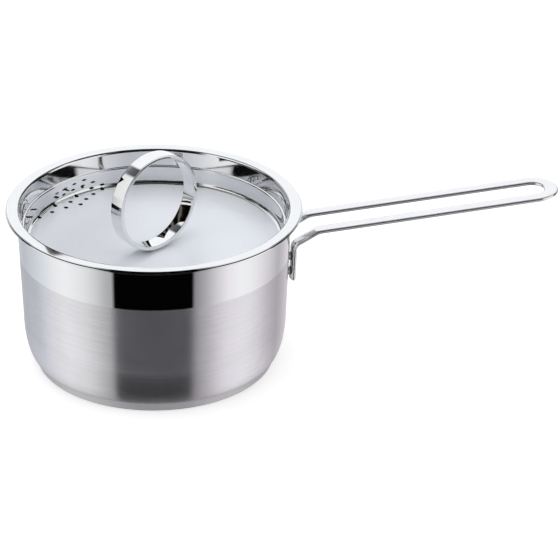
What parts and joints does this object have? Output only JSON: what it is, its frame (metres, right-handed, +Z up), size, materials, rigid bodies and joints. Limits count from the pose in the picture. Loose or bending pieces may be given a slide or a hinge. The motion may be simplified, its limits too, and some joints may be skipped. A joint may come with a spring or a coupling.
{
  "type": "saucepan with strainer lid",
  "caption": "Round stainless-steel saucepan with a bent-bar loop handle, a thick base disc and a sunken lift-off steel lid with strainer holes and an upright ring grip.",
  "frame": {"origin": "centre of the flat underside of the base, on the pan's axis", "axes": "+Z up along the pan's axis, +X from the pan's axis along the handle, +Y to the left when looking along the handle away from the pan"},
  "size_m": [0.3379, 0.175, 0.1313],
  "materials": {
    "pan_steel": "mirror-polished band under the rim, satin below",
    "core_aluminium": "plain, sealed inside the base",
    "base_steel": "turned satin",
    "handle_steel": "polished",
    "weld_steel": "as welded, wiped clean",
    "lid_steel": "polished flange and walls, satin floor",
    "ring_steel": "mirror polished"
  },
  "bodies": {
    "pan": {"pan_body": "pan_steel", "base_core_disc": "core_aluminium", "base_cap": "base_steel", "handle_loop": "handle_steel", "handle_weld_left_lower": "weld_steel", "handle_weld_left_upper": "weld_steel", "handle_weld_right_lower": "weld_steel", "handle_weld_right_upper": "weld_steel"},
    "lid": {"lid_dish": "lid_steel", "lid_ring": "ring_steel", "lid_ring_weld": "weld_steel"}
  },
  "joints": [
    {"name": "lid_lift", "type": "slide", "parent": "pan", "child": "lid", "axis": [0, 0, 1], "range_m": [0, 0.12]}
  ]
}
